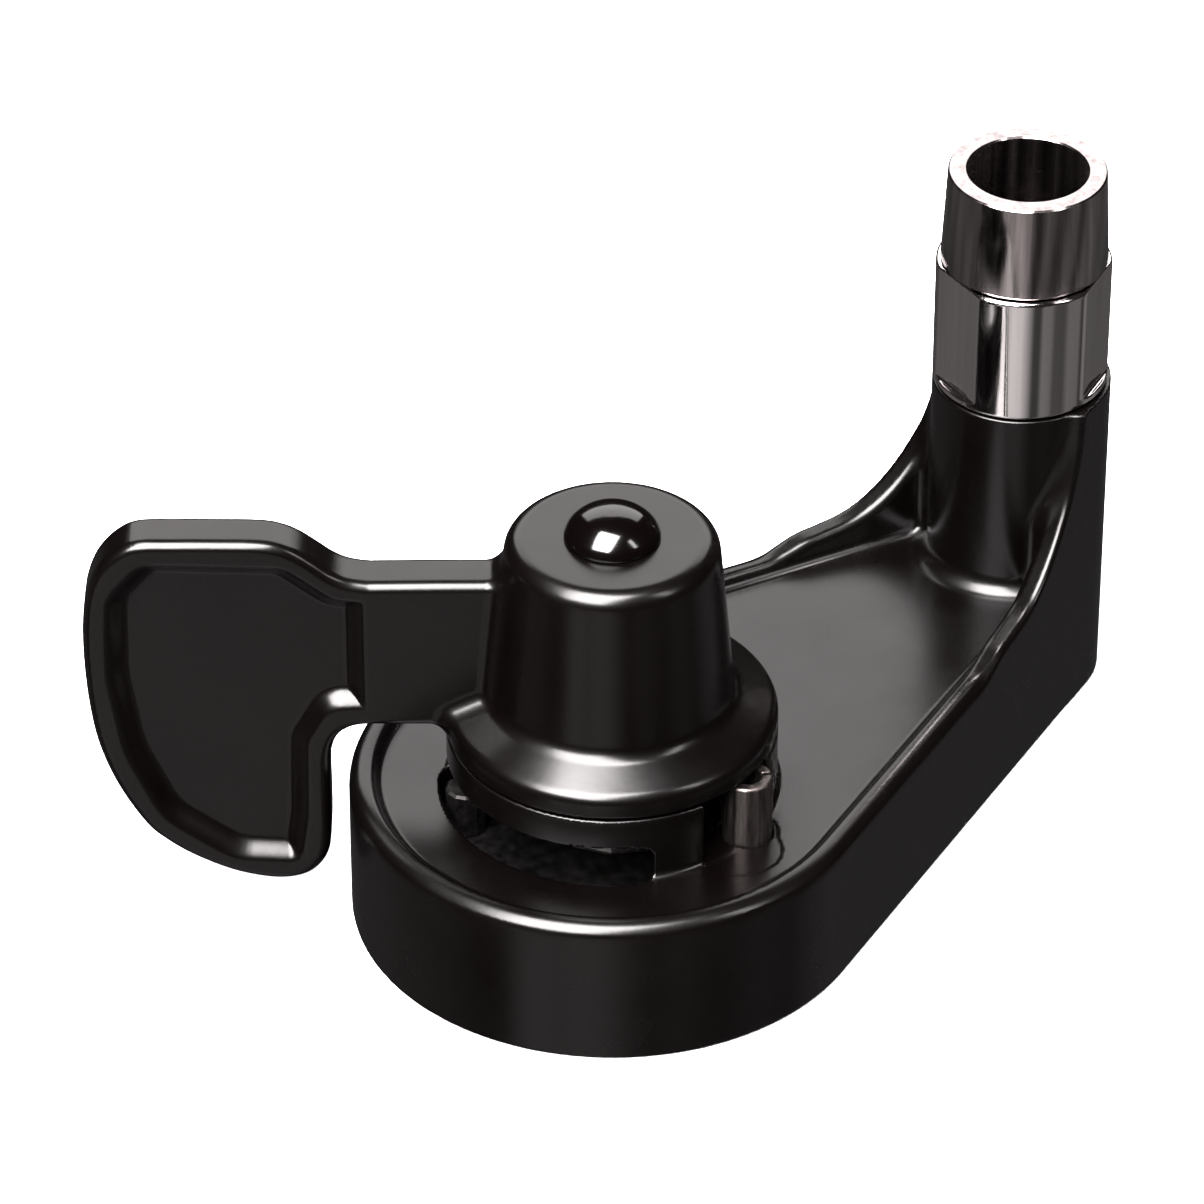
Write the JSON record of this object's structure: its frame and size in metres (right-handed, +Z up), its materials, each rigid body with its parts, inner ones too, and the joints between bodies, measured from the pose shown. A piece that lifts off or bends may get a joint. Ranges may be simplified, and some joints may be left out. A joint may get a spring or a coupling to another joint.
{
  "type": "trailer jack swivel base with lock lever",
  "caption": "Black cast trailer-jack base: round head with a paddle lock lever on a hub, curved slot, stop pin and a chromed mast post that swivels in the rear boss.",
  "frame": {"origin": "on the lever's vertical axis, on the flat underside of the base", "axes": "+X from the lever axis to the mast axis, +Z up; at rest the lever points 135.7 degrees round from +X"},
  "size_m": [0.2559, 0.1543, 0.145],
  "materials": {
    "base_enamel": "gloss black baked enamel on a casting",
    "lever_enamel": "gloss black baked enamel on a casting",
    "cap_black": "gloss black moulded cap",
    "chrome": "bright chrome plate with faint draw lines",
    "bronze": "sintered bronze, oiled",
    "gasket_rubber": "matt",
    "spring_steel": "dark tempered wire",
    "zinc": "zinc plated",
    "pin_steel": "rolled steel, slightly darkened",
    "steel": "machined"
  },
  "bodies": {
    "base": {"base_casting": "base_enamel", "bottom_cover": "zinc", "base_gasket": "gasket_rubber", "cover_screw_1": "zinc", "cover_screw_2": "zinc", "cover_screw_3": "zinc", "cover_screw_4": "zinc", "cover_screw_5": "zinc", "cover_screw_6": "zinc", "upper_bush": "bronze", "lower_bush": "bronze", "thrust_washer": "bronze", "return_spring": "spring_steel", "stop_pin": "pin_steel", "slide_guide_left": "steel", "slide_guide_right": "steel", "guide_screw_1": "zinc", "guide_screw_2": "zinc", "guide_screw_3": "zinc", "guide_screw_4": "zinc", "mast_lower_bush": "bronze", "mast_upper_bush": "bronze", "mast_thrust_washer": "bronze"},
    "lever": {"paddle_lever": "lever_enamel", "lever_spindle": "steel", "hub_key": "steel", "cam_key": "steel", "hub_screw": "zinc", "hub_washer": "zinc", "dome_cap": "cap_black", "cam_disc": "steel", "stop_peg": "steel", "cam_clip": "spring_steel"},
    "slide": {"lock_slide": "steel", "lock_shoe": "bronze", "shoe_screw": "zinc", "follower_pin": "steel"},
    "mast": {"mast_collar": "chrome", "mast_tube": "chrome", "mast_snap_ring": "spring_steel"}
  },
  "joints": [
    {"name": "lever_swing", "type": "hinge", "parent": "base", "child": "lever", "pos_m": [0, 0, 0], "axis": [0, 0, 1], "range_deg": [0, 92], "stiffness_Nm_per_rad": 0.3, "springref_deg": -34.38},
    {"name": "lock_travel", "type": "slide", "parent": "base", "child": "slide", "axis": [1, 0, 0], "range_m": [-0.00401, 0]},
    {"name": "mast_swivel", "type": "hinge", "parent": "base", "child": "mast", "pos_m": [0.14, 0, 0], "axis": [0, 0, 1], "continuous": true}
  ],
  "couplings": [
    {"joint": "lock_travel", "follows": "lever_swing", "m_per_rad": -0.0024911}
  ]
}
